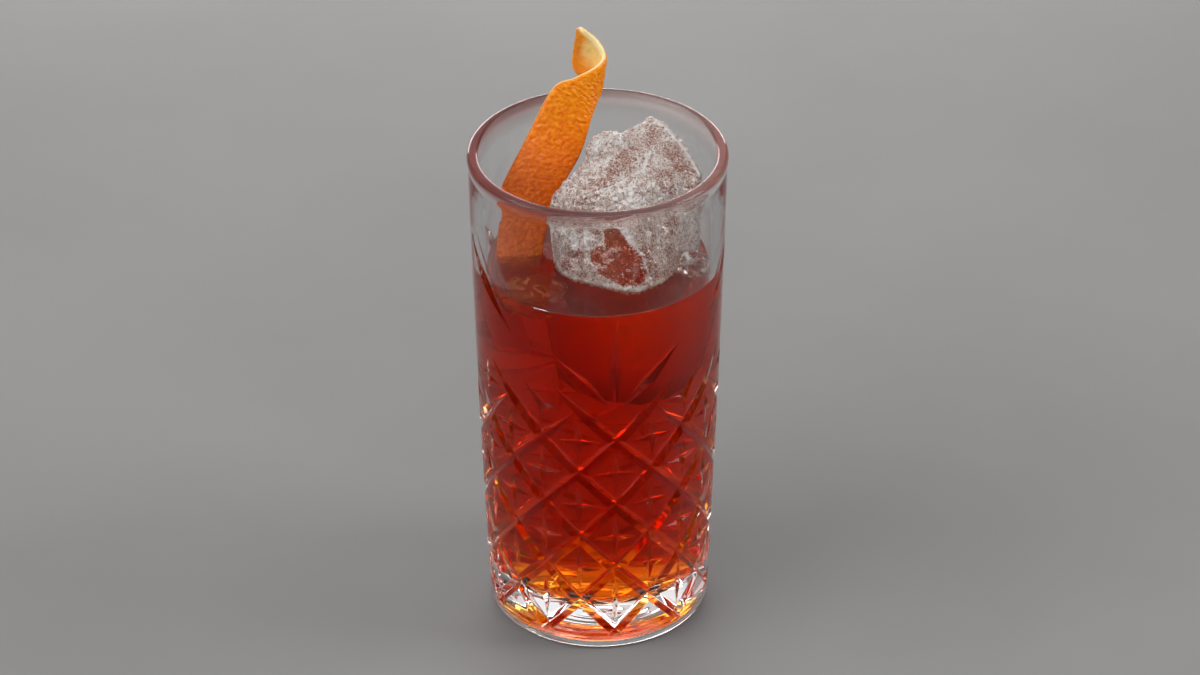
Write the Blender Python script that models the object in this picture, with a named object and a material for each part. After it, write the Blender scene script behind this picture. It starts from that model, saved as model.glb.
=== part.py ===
"""Iced red cocktail in a cut highball glass, with a block of ice and a twist of orange peel.

Lengths are in millimetres and become metres when a mesh is made. The glass stands on z = 0
with its axis on +Z, and the front of its pattern is turned a little to the right of -Y.
"""

import math

import bmesh
import bpy
import numpy as np
from mathutils import Matrix, Vector, geometry, noise

MM = 0.001
GAP = 0.3

# Glass body
HEIGHT = 160.0
RIM_RADIUS = 39.6
WALL_TOP_RADIUS = 39.4
NECK = (39.15, 154.8)
MIDDLE_RADIUS = 37.3
FOOT_RADIUS = 34.2
REST_RADIUS = 31.8
HEEL_HEIGHT = 3.6
RIM_THICKNESS = 3.6
FLOOR_HEIGHT = 14.0
INNER_FLOOR_RADIUS = 30.9
INNER_CORNER = 7.0
DISH_RADIUS = 27.0
DISH_DEPTH = 1.4
DISH_BLEND = 2.2
STEPS_ROUND = 60
RIM_STEPS = 6
CORNER_STEPS = 4
HEEL_STEPS = 3
PATTERN_TURN = math.radians(8.4)

# Pattern: ten diamonds round, in half-diamond columns and rows
COLUMN_ANGLE = math.radians(18.0)
UNROLL_RADIUS = 36.0
COLUMN = UNROLL_RADIUS * COLUMN_ANGLE
ROW = 11.86
FIRST_ROW_HEIGHT = 7.3
QUARTER_COLUMNS = 5
CROWN_ROW = 7
GROOVE_DEPTH = 1.3
GROOVE_SLOPE = 0.68
STAR_DEPTH = 1.2
STAR_SLOPE = 0.85
STAR_REACH = (0.62, 0.66)
TOE = 0.22
TAPER = 0.9
FAN_DEPTH = 1.5
FAN_SLOPE = 0.65
FAN_SWELL = 0.42
PLAIN_TOP = 150.0
PLAIN_RINGS = (126.0, 138.0)
CROWN_STAR = ((-0.55, 0), (0, -0.55), (0.62, 0.72))
# Leaves above the crown, as (column, row above the crown) of each end, and their swell
FAN_LEAVES = (((0, 0.02), (0, 2.75)), ((0.15, 0.1), (1.8, 1.72)), ((-0.15, 0.1), (-1.8, 1.72)))
LONG_LEAF = ((2.78, 1.78), (4.9, 3.9))
LONG_LEAF_SWELL = 0.55
JOIN_DISTANCE = 0.004
# How far past row 6 each rising groove runs, by its column there, in columns
GROOVE_RUN = {0: 1.7, 2: 1.75, 4: 1.0, 6: 1.0, 8: 1.0}

# Contents
LEVEL = 123.0
ICE_CORNERS = {
    "ridge": (12, -6, 152.5),
    "peak": (17.3, 24.5, 160.2),
    "peak_right": (21.2, 23, 159.2),
    "shoulder_right": (28.6, 13.3, 153.4),
    "right_top": (32.3, 4.5, 149),
    "right_low": (33.6, 5.0, 128),
    "left_tip": (-16.4, 0, 141.5),
    "back_left_top": (-3.5, 9, 153.5),
    "front": (11.5, -22.8, 119),
    "front_left": (-7.5, -15.8, 117),
    "front_right": (21, -13, 121),
    "left": (-13.5, -5.2, 117),
    "left_back": (-9, 8, 118),
    "back": (8, 28, 122),
    "back_right": (23, 22, 120),
    "deep_front": (8, -14, 80),
    "deep_left": (-9, -3, 83),
    "deep_right": (24, -6, 82),
    "deep_back": (10, 19, 81),
}
ICE_CENTRE = (9, 2, 122)
ICE_BUMP = (2.5, 10, 155.5)
ICE_BUMP_SIZE = (5.4, 4.6)
ICE_ROUNDING = 44
ICE_ROUGHNESS = 0.7
ICE_GRAIN = 9.0
ICE_SUBDIVISIONS = 4
ICE_FINE_ABOVE = 0.25
CHIP_CENTRE = (28.75, -9.2, 125.8)
CHIP_SIZE = (4.2, 2.9, 4.5)
CHIP_UNEVENNESS = 0.084
CHIP_GRAIN = 1.7
CHIP_SQUARENESS = 0.35
CHIP_LEAN = 0.4
CHIP_SUBDIVISIONS = 3

# Orange peel: matching points of its two long edges, from the foot to the tip
PEEL_LEFT = (
    (-26.8, -11.4, 98.0),
    (-29.8, -5.0, 110.0),
    (-31.8, 1.0, 121.5),
    (-31.2, 7.6, 130.4),
    (-29.6, 13.4, 138.8),
    (-22.3, 20.3, 151.6),
    (-13.7, 24.8, 167.2),
    (-6.8, 25.5, 170.6),
    (-0.3, 27.6, 173.2),
    (2.4, 30.8, 175.6),
    (0.4, 33.0, 179.2),
    (-4.2, 33.6, 183.4),
)
PEEL_RIGHT = (
    (-15.8, -10.8, 99.0),
    (-18.0, -5.0, 111.0),
    (-17.4, 1.4, 121.0),
    (-15.8, 7.0, 128.0),
    (-12.2, 13.0, 137.0),
    (-5.4, 18.8, 147.5),
    (-1.8, 23.4, 158.0),
    (0.2, 26.8, 162.7),
    (0.5, 30.6, 163.8),
    (-2.6, 33.4, 164.4),
    (-7.6, 34.0, 170.4),
    (-6.4, 33.8, 183.0),
)
PEEL_THICKNESS = 2.0
PEEL_EDGE = 0.55
PEEL_END = 0.4
PEEL_END_STEPS = 3
PEEL_CROWN = 0.9
PEEL_STEPS = 48
PEEL_ACROSS = 4


def clear_scene():
    for item in list(bpy.data.objects):
        bpy.data.objects.remove(item, do_unlink=True)


def make_material(name, colour, roughness, transmission=0.0):
    material = bpy.data.materials.new(name)
    material.use_nodes = True
    shader = material.node_tree.nodes["Principled BSDF"]
    shader.inputs["Base Color"].default_value = (*colour, 1.0)
    shader.inputs["Roughness"].default_value = roughness
    shader.inputs["Metallic"].default_value = 0.0
    shader.inputs["Transmission Weight"].default_value = transmission
    return material


def make_object(name, mesh_data, material, sharp=math.radians(20)):
    """Turn a bmesh in millimetres into a smooth shaded object in metres."""
    bmesh.ops.scale(mesh_data, vec=Vector((MM, MM, MM)), verts=mesh_data.verts)
    mesh = bpy.data.meshes.new(name)
    mesh_data.to_mesh(mesh)
    mesh_data.free()
    mesh.shade_smooth()
    mesh.set_sharp_from_angle(angle=sharp)
    mesh.materials.append(material)
    item = bpy.data.objects.new(name, mesh)
    bpy.context.scene.collection.objects.link(item)
    return item


# Glass profile
def wall_radius(height):
    """Outer radius before cutting: a curve through the foot, the middle and the rim."""
    t = height / HEIGHT
    foot = FOOT_RADIUS * (1 - t) * (1 - 2 * t)
    middle = MIDDLE_RADIUS * 4 * t * (1 - t)
    return foot + middle + WALL_TOP_RADIUS * t * (2 * t - 1)


def inner_radius(height):
    """Inner radius of the straight wall, from the floor's corner to the rim."""
    top = HEIGHT - RIM_THICKNESS / 2
    t = (height - FLOOR_HEIGHT) / (top - FLOOR_HEIGHT)
    return INNER_FLOOR_RADIUS + (RIM_RADIUS - RIM_THICKNESS - INNER_FLOOR_RADIUS) * t


def cavity_profile(inset, top, corner_steps):
    """Radius and height down the inner wall to the middle of the floor, moved in by inset."""
    floor = FLOOR_HEIGHT + inset
    corner_height = FLOOR_HEIGHT + INNER_CORNER
    radius = INNER_CORNER - inset
    centre = inner_radius(corner_height) - inset - radius
    wall_heights = np.linspace(top, corner_height, 5)
    points = [(inner_radius(z) - inset, z) for z in wall_heights]
    for angle in np.linspace(0, math.pi / 2, corner_steps + 1)[1:]:
        points.append((centre + radius * math.cos(angle), floor + radius * (1 - math.sin(angle))))
    points.append((centre * 0.5, floor))
    return points


def rim_profile(steps):
    """Half circle over the rim, from the outer wall to the inner one."""
    bead = RIM_THICKNESS / 2
    centre = RIM_RADIUS - bead
    angles = np.linspace(0, math.pi, steps + 1)
    return [(centre + bead * math.cos(a), HEIGHT - bead + bead * math.sin(a)) for a in angles]


def base_profile(steps):
    """From the outer wall round the heel to the rest ring and up into the shallow dish."""
    start = wall_radius(HEEL_HEIGHT)
    angles = np.linspace(0, math.pi / 2, steps + 1)[1:]
    points = [
        (REST_RADIUS + (start - REST_RADIUS) * math.cos(a), HEEL_HEIGHT * (1 - math.sin(a)))
        for a in angles
    ]
    points.append((DISH_RADIUS, 0.0))
    points.append((DISH_RADIUS - DISH_BLEND, DISH_DEPTH * 0.75))
    points.append((DISH_RADIUS * 0.5, DISH_DEPTH))
    return points


# Cut pattern, laid flat: u runs round the glass from the fan, v is the height
def pattern_point(column, row):
    return np.array((column * COLUMN, FIRST_ROW_HEIGHT + row * ROW))


def v_cut(start, end, start_depth, end_depth, slope):
    """The two sloping faces of a straight V cut, as polygons of (u, v, depth)."""
    along = (end - start) / np.linalg.norm(end - start)
    side = np.array((-along[1], along[0]))
    faces = []
    for sign in (1, -1):
        near = end + sign * side * end_depth / slope
        far = start + sign * side * start_depth / slope
        corners = [(*start, start_depth), (*end, end_depth)]
        if end_depth > 0:
            corners.append((*near, 0.0))
        if start_depth > 0:
            corners.append((*far, 0.0))
        faces.append(corners)
    return faces


def leaf_cut(start, end, depth, slope, swell):
    """A cut that is pointed at both ends and deepest part of the way along."""
    middle = start + (end - start) * swell
    return v_cut(middle, start, depth, 0.0, slope) + v_cut(middle, end, depth, 0.0, slope)


def star(column, row, arms):
    """Tapered arms from a diamond's centre; each arm is a step in columns and rows."""
    centre = pattern_point(column, row)
    faces = []
    for step in arms:
        tip = pattern_point(column + step[0], row + step[1])
        faces += v_cut(centre, tip, STAR_DEPTH, 0.0, STAR_SLOPE)
    return faces


def lattice_groove(column, run, lean):
    """A groove that rises from row 0 through row 6 at the column and tapers out past it."""
    foot = pattern_point(column - lean * 6, 0)
    toe = pattern_point(column - lean * (6 + TOE), -TOE)
    shoulder = pattern_point(column + lean * (run - TAPER), 6 + run - TAPER)
    tip = pattern_point(column + lean * run, 6 + run)
    faces = v_cut(foot, shoulder, GROOVE_DEPTH, GROOVE_DEPTH, GROOVE_SLOPE)
    faces += v_cut(foot, toe, GROOVE_DEPTH, 0.0, GROOVE_SLOPE)
    faces += v_cut(shoulder, tip, GROOVE_DEPTH, 0.0, GROOVE_SLOPE)
    return faces


def crown_leaf(ends, swell, axis=0, lean=1):
    """A leaf above the crown, as given to the right of an axis column or mirrored on it."""
    low, high = (pattern_point(axis + lean * column, CROWN_ROW + row) for column, row in ends)
    return leaf_cut(low, high, FAN_DEPTH, FAN_SLOPE, swell)


def pattern_faces():
    """Every cut that reaches the quarter of the glass from the fan to the side."""
    across, up = STAR_REACH
    plain_arms = ((across, 0), (-across, 0), (0, up), (0, -up))
    faces = []
    for column in range(-6, 12, 2):
        faces += lattice_groove(column, GROOVE_RUN[column % 10], 1)
        faces += lattice_groove(column, GROOVE_RUN[-column % 10], -1)
    for row in range(1, 7):
        for column in range(-2, QUARTER_COLUMNS + 3):
            if (column + row) % 2:
                faces += star(column, row, plain_arms)
    faces += star(2, CROWN_ROW, CROWN_STAR)
    faces += star(4, CROWN_ROW, plain_arms)
    faces += star(6, CROWN_ROW, plain_arms)
    for ends in FAN_LEAVES:
        faces += crown_leaf(ends, FAN_SWELL)
    faces += crown_leaf(LONG_LEAF, LONG_LEAF_SWELL)
    faces += crown_leaf(LONG_LEAF, LONG_LEAF_SWELL, axis=2 * QUARTER_COLUMNS, lean=-1)
    return faces


def clip_to_quarter(polygon):
    """Cut a polygon of (u, v, depth) at the two sides of the quarter."""
    for limit, keep in ((0.0, 1), (QUARTER_COLUMNS * COLUMN, -1)):
        kept = []
        for i, point in enumerate(polygon):
            before = polygon[i - 1]
            inside = keep * (point[0] - limit) >= 0
            if inside != (keep * (before[0] - limit) >= 0):
                t = (limit - before[0]) / (point[0] - before[0])
                kept.append(tuple(b + (p - b) * t for b, p in zip(before, point)))
            if inside:
                kept.append(tuple(point))
        polygon = kept
    return polygon


def plane_of(polygon):
    """Depth as a + b*u + c*v over a flat polygon."""
    points = np.array(polygon)
    columns = np.column_stack((np.ones(len(points)), points[:, 0], points[:, 1]))
    return np.linalg.lstsq(columns, points[:, 2], rcond=None)[0]


def signed_area(polygon):
    points = np.array(polygon)[:, :2]
    ahead = np.roll(points, -1, axis=0)
    return 0.5 * np.sum(points[:, 0] * ahead[:, 1] - points[:, 1] * ahead[:, 0])


def line_inside(line, polygon, span):
    """The part of the span of an infinite line, (point, direction), inside a polygon."""
    origin, direction = line
    low, high = span
    points = np.array(polygon)[:, :2]
    for i, start in enumerate(points):
        edge = points[(i + 1) % len(points)] - start
        across = edge[0] * direction[1] - edge[1] * direction[0]
        offset = edge[0] * (origin[1] - start[1]) - edge[1] * (origin[0] - start[0])
        if abs(across) < 1e-12:
            if offset < 0:
                return None
        elif across > 0:
            low = max(low, -offset / across)
        else:
            high = min(high, -offset / across)
    return (low, high) if high - low > 0.02 else None


def crossing_line(first, second):
    """Where two overlapping faces are equally deep: the crease between them."""
    difference = first[1] - second[1]
    normal = difference[1:]
    length = np.linalg.norm(normal)
    if length < 1e-6:
        return None
    origin = -difference[0] * normal / length**2
    direction = np.array((-normal[1], normal[0])) / length
    span = line_inside((origin, direction), first[0], (-1e4, 1e4))
    span = span and line_inside((origin, direction), second[0], span)
    return span and (origin + direction * span[0], origin + direction * span[1])


def depth_at(points, cuts):
    """How deep each point lies under the uncut wall: the deepest cut that covers it."""
    depth = np.zeros(len(points))
    for polygon, plane in cuts:
        corners = np.array(polygon)[:, :2]
        inside = np.ones(len(points), bool)
        for i, start in enumerate(corners):
            edge = corners[(i + 1) % len(corners)] - start
            length = np.linalg.norm(edge)
            if length > 1e-9:
                offset = points - start
                inside &= (edge[0] * offset[:, 1] - edge[1] * offset[:, 0]) / length > -1e-3
        value = plane[0] + points @ plane[1:]
        depth = np.where(inside, np.maximum(depth, value), depth)
    return depth


def oriented(polygon):
    return polygon if signed_area(polygon) > 0 else polygon[::-1]


def crease_segments(cuts):
    """Every edge of the cuts' faces and every crease between two that overlap."""
    boxes = [(np.min(face, axis=0)[:2], np.max(face, axis=0)[:2]) for face, _ in cuts]
    segments = []
    for i, (face, _) in enumerate(cuts):
        segments += [(face[j - 1][:2], face[j][:2]) for j in range(len(face))]
        for k in range(i + 1, len(cuts)):
            apart = np.any(boxes[i][0] > boxes[k][1]) or np.any(boxes[k][0] > boxes[i][1])
            crease = None if apart else crossing_line(cuts[i], cuts[k])
            if crease:
                segments.append(crease)
    return segments


def frame_segments(width):
    """The quarter's two sides and its level rings."""
    steps = STEPS_ROUND // 4
    segments = [((side, HEEL_HEIGHT), (side, PLAIN_TOP)) for side in (0.0, width)]
    for height in (HEEL_HEIGHT, *PLAIN_RINGS, PLAIN_TOP):
        ring = [(width * i / steps, height) for i in range(steps + 1)]
        segments += list(zip(ring[:-1], ring[1:]))
    return segments


def cut_quarter():
    """Triangles of (u, v, depth) over a quarter of the wall, with an edge along every crease."""
    clipped = [clip_to_quarter(face) for face in pattern_faces()]
    clipped = [oriented(face) for face in clipped if len(face) > 2 and abs(signed_area(face)) > 1e-3]
    cuts = [(face, plane_of(face)) for face in clipped]
    width = QUARTER_COLUMNS * COLUMN
    segments = crease_segments(cuts) + frame_segments(width)
    ends = [Vector(end) for segment in segments for end in segment]
    links = [(2 * i, 2 * i + 1) for i in range(len(segments))]
    flat, _, triangles, *_ = geometry.delaunay_2d_cdt(ends, links, [], 0, JOIN_DISTANCE)
    flat = np.array([tuple(point) for point in flat])
    sides = [np.abs(flat[:, 0] - side) < JOIN_DISTANCE for side in (0.0, width)]
    for side, near in zip((0.0, width), sides):
        flat[near, 0] = side
    flattened = [all(near[i] for i in t) for t in triangles for near in sides]
    triangles = [t for i, t in enumerate(triangles) if not any(flattened[2 * i : 2 * i + 2])]
    return flat, depth_at(flat, cuts), triangles


def on_glass(angle, radius, height):
    """A point by its angle from the middle of the fan, its radius and its height."""
    turned = angle + PATTERN_TURN
    return (radius * math.sin(turned), -radius * math.cos(turned), height)


def add_cut_wall(mesh_data):
    """Wrap the quarter round the glass four times, every other one mirrored."""
    flat, depth, triangles = cut_quarter()
    half_turn = 2 * QUARTER_COLUMNS * COLUMN_ANGLE
    radii = [wall_radius(v) - d for (u, v), d in zip(flat, depth)]
    for start, direction in ((0, 1), (0, -1), (half_turn, 1), (half_turn, -1)):
        made = []
        for (u, v), radius in zip(flat, radii):
            angle = start + direction * u / UNROLL_RADIUS
            made.append(mesh_data.verts.new(on_glass(angle, radius, v)))
        for triangle in triangles:
            corners = [made[i] for i in triangle]
            mesh_data.faces.new(corners if direction > 0 else corners[::-1])


def add_turned_skin(mesh_data, profile, closed_by_point=None):
    """Rings of a turned profile, joined in order, with an optional point that closes the last."""
    rings = []
    for radius, height in profile:
        ring = []
        for i in range(STEPS_ROUND):
            angle = 2 * math.pi * i / STEPS_ROUND
            ring.append(mesh_data.verts.new(on_glass(angle, radius, height)))
        rings.append(ring)
    for first, second in zip(rings[:-1], rings[1:]):
        for i in range(STEPS_ROUND):
            j = (i + 1) % STEPS_ROUND
            mesh_data.faces.new((first[i], second[i], second[j], first[j]))
    if closed_by_point is not None:
        tip = mesh_data.verts.new((0, 0, closed_by_point))
        for i in range(STEPS_ROUND):
            mesh_data.faces.new((rings[-1][i], tip, rings[-1][(i + 1) % STEPS_ROUND]))


def close_skin(mesh_data):
    bmesh.ops.remove_doubles(mesh_data, verts=mesh_data.verts, dist=JOIN_DISTANCE)
    bmesh.ops.triangulate(mesh_data, faces=mesh_data.faces)
    bmesh.ops.recalc_face_normals(mesh_data, faces=mesh_data.faces)


def make_glass():
    mesh_data = bmesh.new()
    add_cut_wall(mesh_data)
    over_rim = [(wall_radius(PLAIN_TOP), PLAIN_TOP), NECK] + rim_profile(RIM_STEPS)
    inside = cavity_profile(0.0, HEIGHT - RIM_THICKNESS / 2, CORNER_STEPS)[1:]
    add_turned_skin(mesh_data, over_rim + inside, FLOOR_HEIGHT)
    under = [(wall_radius(HEEL_HEIGHT), HEEL_HEIGHT)] + base_profile(HEEL_STEPS)
    add_turned_skin(mesh_data, under, DISH_DEPTH)
    close_skin(mesh_data)
    material = make_material("clear_glass", (0.93, 0.95, 0.95), 0.03, 1.0)
    return make_object("glass", mesh_data, material)


# Ice
def hull_planes(corners, centre):
    """Outward normals of the corners' convex hull, each over its distance from the centre."""
    hull = bmesh.new()
    for corner in corners:
        hull.verts.new(Vector(corner) - Vector(centre))
    bmesh.ops.convex_hull(hull, input=hull.verts)
    planes = []
    for face in hull.faces:
        distance = face.normal.dot(face.calc_center_median())
        planes.append(face.normal * math.copysign(1, distance) / abs(distance))
    hull.free()
    return np.array([tuple(plane) for plane in planes])


def ice_block(inflate=0.0):
    """A block with softened edges and an uneven skin, as a star-shaped body round its centre."""
    centre = Vector(ICE_CENTRE)
    planes = hull_planes(ICE_CORNERS.values(), ICE_CENTRE)
    bump = (Vector(ICE_BUMP) - centre).normalized()
    mesh_data = bmesh.new()
    bmesh.ops.create_icosphere(mesh_data, subdivisions=ICE_SUBDIVISIONS, radius=1.0)
    upper = [edge for edge in mesh_data.edges if min(vert.co.z for vert in edge.verts) > ICE_FINE_ABOVE]
    bmesh.ops.subdivide_edges(mesh_data, edges=upper, cuts=1, use_grid_fill=True)
    bmesh.ops.triangulate(mesh_data, faces=mesh_data.faces)
    for vert in mesh_data.verts:
        direction = vert.co.normalized()
        reach = np.maximum(planes @ np.array(direction), 0.0)
        radius = float(np.sum(reach**ICE_ROUNDING)) ** (-1 / ICE_ROUNDING)
        surface = direction * radius
        radius += ICE_ROUGHNESS * noise.fractal(surface / ICE_GRAIN, 0.8, 2.0, 3)
        away = (direction - bump).length * radius
        radius += ICE_BUMP_SIZE[1] * math.exp(-((away / ICE_BUMP_SIZE[0]) ** 4))
        vert.co = centre + direction * radius
    push_out(mesh_data, inflate)
    return mesh_data


def ice_chip(inflate=0.0):
    mesh_data = bmesh.new()
    bmesh.ops.create_icosphere(mesh_data, subdivisions=CHIP_SUBDIVISIONS, radius=1.0)
    for vert in mesh_data.verts:
        swell = 1 + CHIP_UNEVENNESS * noise.noise(vert.co * CHIP_GRAIN)
        square = max(abs(c) for c in vert.co) ** -CHIP_SQUARENESS
        vert.co = Vector([c * s * swell * square for c, s in zip(vert.co, CHIP_SIZE)])
    bmesh.ops.rotate(mesh_data, matrix=Matrix.Rotation(CHIP_LEAN, 3, "Y"), verts=mesh_data.verts)
    bmesh.ops.translate(mesh_data, vec=Vector(CHIP_CENTRE), verts=mesh_data.verts)
    push_out(mesh_data, inflate)
    return mesh_data


def push_out(mesh_data, distance):
    """Move every point along its normal."""
    if distance:
        mesh_data.normal_update()
        moves = [(vert, vert.normal * distance) for vert in mesh_data.verts]
        for vert, move in moves:
            vert.co += move


# Orange peel
def smooth_row(points, count):
    """Points spread evenly along a Catmull-Rom curve through the given ones."""
    points = [Vector(p) for p in points]
    ends = [points[0] * 2 - points[1]] + points + [points[-1] * 2 - points[-2]]
    made = []
    for i in range(count):
        place = i / (count - 1) * (len(points) - 1)
        k = min(int(place), len(points) - 2)
        t = place - k
        a, b, c, d = ends[k : k + 4]
        bend = (2 * a - 5 * b + 4 * c - d) * t**2 + (3 * b - a - 3 * c + d) * t**3
        made.append(0.5 * (2 * b + (c - a) * t + bend))
    return made


def orange_peel(inflate=0.0):
    """A ribbon between two edges, crowned to the zest side and closed all round."""
    left = smooth_row(PEEL_LEFT, PEEL_STEPS)
    right = smooth_row(PEEL_RIGHT, PEEL_STEPS)
    middle = [(a + b) / 2 for a, b in zip(left, right)]
    mesh_data = bmesh.new()
    rings = []
    for i in range(PEEL_STEPS):
        along = middle[min(i + 1, PEEL_STEPS - 1)] - middle[max(i - 1, 0)]
        outward = along.cross(right[i] - left[i]).normalized() * -1
        from_end = min(i, PEEL_STEPS - 1 - i)
        fade = min(1.0, from_end / PEEL_END_STEPS + PEEL_END)
        front, back = [], []
        for j in range(PEEL_ACROSS + 1):
            s = j / PEEL_ACROSS
            place = left[i].lerp(right[i], s) + outward * PEEL_CROWN * (1 - (2 * s - 1) ** 2)
            half = PEEL_THICKNESS / 2 * fade * (PEEL_EDGE if j in (0, PEEL_ACROSS) else 1.0)
            front.append(mesh_data.verts.new(place + outward * half))
            back.append(mesh_data.verts.new(place - outward * half))
        rings.append(front + back[::-1])
    size = len(rings[0])
    for first, second in zip(rings[:-1], rings[1:]):
        for j in range(size):
            k = (j + 1) % size
            mesh_data.faces.new((first[j], first[k], second[k], second[j]))
    mesh_data.faces.new(rings[0][::-1])
    mesh_data.faces.new(rings[-1])
    bmesh.ops.triangulate(mesh_data, faces=mesh_data.faces)
    bmesh.ops.recalc_face_normals(mesh_data, faces=mesh_data.faces)
    push_out(mesh_data, inflate)
    return mesh_data


# Drink
def add_cutter(target, name, mesh_data, material):
    """Keep the target clear of a neighbour that stands in it."""
    cutter = make_object(name, mesh_data, material)
    cutter.hide_render = True
    cutter.display_type = "WIRE"
    cut = target.modifiers.new(name, "BOOLEAN")
    cut.operation = "DIFFERENCE"
    cut.solver = "EXACT"
    cut.object = cutter


def make_drink():
    mesh_data = bmesh.new()
    profile = cavity_profile(GAP, LEVEL, CORNER_STEPS)
    add_turned_skin(mesh_data, profile, FLOOR_HEIGHT + GAP)
    surface = [vert for vert in mesh_data.verts if abs(vert.co.z - LEVEL) < 1e-4]
    mesh_data.faces.new(surface)
    close_skin(mesh_data)
    material = make_material("red_drink", (0.45, 0.03, 0.01), 0.02, 1.0)
    drink = make_object("drink", mesh_data, material)
    add_cutter(drink, "ice_room", ice_block(GAP), material)
    add_cutter(drink, "chip_room", ice_chip(GAP), material)
    add_cutter(drink, "peel_room", orange_peel(GAP), material)
    return drink


def main():
    clear_scene()
    make_glass()
    ice = make_material("frosted_ice", (0.86, 0.84, 0.84), 0.35, 0.6)
    make_object("ice_block", ice_block(), ice)
    make_object("ice_chip", ice_chip(), ice)
    make_object("orange_peel", orange_peel(), make_material("orange_zest", (0.90, 0.32, 0.02), 0.45))
    make_drink()


main()
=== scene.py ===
"""Looks of an iced red cocktail: cut glass, dark red drink, frosted ice and orange zest.

Lengths are in millimetres and become metres when a mesh is made. The glass profile and the
cut pattern repeat those of the solid glass, with finer steps and softly rounded creases.
"""

import math
from types import SimpleNamespace

import bmesh
import bpy
import numpy as np
from mathutils import Matrix, Vector, geometry, noise
from mathutils.bvhtree import BVHTree


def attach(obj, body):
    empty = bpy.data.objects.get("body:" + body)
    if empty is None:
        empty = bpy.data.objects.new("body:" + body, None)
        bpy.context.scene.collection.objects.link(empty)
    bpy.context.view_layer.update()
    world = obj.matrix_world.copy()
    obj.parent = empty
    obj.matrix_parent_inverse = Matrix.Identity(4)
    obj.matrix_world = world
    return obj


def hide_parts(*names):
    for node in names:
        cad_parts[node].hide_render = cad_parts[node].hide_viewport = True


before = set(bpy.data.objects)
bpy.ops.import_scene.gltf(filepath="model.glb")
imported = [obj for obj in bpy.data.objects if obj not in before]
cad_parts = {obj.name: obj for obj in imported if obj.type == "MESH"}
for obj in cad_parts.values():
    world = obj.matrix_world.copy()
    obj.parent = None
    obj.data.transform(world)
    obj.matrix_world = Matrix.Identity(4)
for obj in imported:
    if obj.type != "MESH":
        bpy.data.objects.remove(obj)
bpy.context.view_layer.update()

MM = 0.001

# Camera, found from the glass in the photograph, whose picture is 1200 pixels wide
CAMERA_PLACE = (0.585, -1351.6, 925.3)
CAMERA_PITCH = math.radians(31.612)
CAMERA_ROLL = math.radians(-0.144)
PICTURE_WIDTH = 1200
FOCAL_PIXELS = 5144.2
SENSOR = 36.0

# Softboxes as name, place, size and watts, and the place that they all face
LIGHT_AIM = (0, 0, 60)
LIGHTS = (
    ("back_softbox", (-60, 900, 190), (1000, 260), 4.5),
    ("high_back_softbox", (-60, 900, 650), (1400, 600), 1.5),
    ("left_softbox", (-520, -260, 620), (640, 520), 4.6),
    ("right_softbox", (620, -60, 420), (300, 400), 3.0),
    ("front_softbox", (-150, -1100, 700), (700, 500), 1.6),
)

# The sky as two heights, where 1 is straight up, and the colours there
SKY = ((0.15, (0.02, 0.02, 0.02)), (0.6, (0.36, 0.35, 0.35)))

# The stage's disc, and how far it lies below the glass
STAGE_RADIUS = 12000
STAGE_DROP = 0.08

# Glass body, as in the solid
HEIGHT = 160.0
RIM_RADIUS = 39.6
WALL_TOP_RADIUS = 39.4
NECK = (39.15, 154.8)
MIDDLE_RADIUS = 37.3
FOOT_RADIUS = 34.2
REST_RADIUS = 31.8
HEEL_HEIGHT = 3.6
RIM_THICKNESS = 3.6
FLOOR_HEIGHT = 14.0
INNER_FLOOR_RADIUS = 30.9
INNER_CORNER = 7.0
DISH_RADIUS = 27.0
DISH_DEPTH = 1.4
PATTERN_TURN = math.radians(8.4)
ROUND = 192
RIPPLE_HEIGHT = 0.02
RIPPLE_LENGTH = 3.4

# Cut pattern, as in the solid
COLUMN_ANGLE = math.radians(18.0)
UNROLL_RADIUS = 36.0
COLUMN = UNROLL_RADIUS * COLUMN_ANGLE
ROW = 11.86
FIRST_ROW_HEIGHT = 7.3
QUARTER_COLUMNS = 5
QUARTER_WIDTH = QUARTER_COLUMNS * COLUMN
CROWN_ROW = 7
GROOVE_DEPTH = 1.3
GROOVE_SLOPE = 0.68
STAR_DEPTH = 1.2
STAR_SLOPE = 0.85
STAR_REACH = (0.62, 0.66)
TOE = 0.22
TAPER = 0.9
FAN_DEPTH = 1.5
FAN_SLOPE = 0.65
FAN_SWELL = 0.42
PLAIN_TOP = 150.0
CROWN_STAR = ((-0.55, 0), (0, -0.55), (0.62, 0.72))
FAN_LEAVES = (((0, 0.02), (0, 2.75)), ((0.15, 0.1), (1.8, 1.72)), ((-0.15, 0.1), (-1.8, 1.72)))
LONG_LEAF = ((2.78, 1.78), (4.9, 3.9))
LONG_LEAF_SWELL = 0.55
GROOVE_RUN = {0: 1.7, 2: 1.75, 4: 1.0, 6: 1.0, 8: 1.0}

# How the creases are rounded, by means over a point and two rings, and how the wall is divided
CREASE_RADIUS = 0.18
CREASE_SAMPLES = 16
RING_SHARES = (0.2, 0.4, 0.4)
CREASE_STEP = 1.6
WALL_STEP = 1.7
JOIN_DISTANCE = 0.004

# Tints of the glass's facing reflection, dry and wetted, and the heights where the rim begins
DRY_TINT = (0.15, 0.15, 0.15)
WET_TINT = (0, 0, 0)
RIM_BLEND = (155.0, 158.5)

# Drink: where it stands and creeps up, and how far it and its pieces reach into each other
LEVEL = 123.0
REACH = 0.05
MENISCUS_RISE = 0.45
MENISCUS_LENGTH = 1.0
WETTING_RISE = 0.4
WETTING_LENGTH = 0.8
SURFACE_BREAK = math.radians(35)
ICE_OVERLAP = 0.35
CHIP_OVERLAP = 0.2
PEEL_OVERLAP = 0.3
SUNKEN_OVERLAP = 0.25

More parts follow.
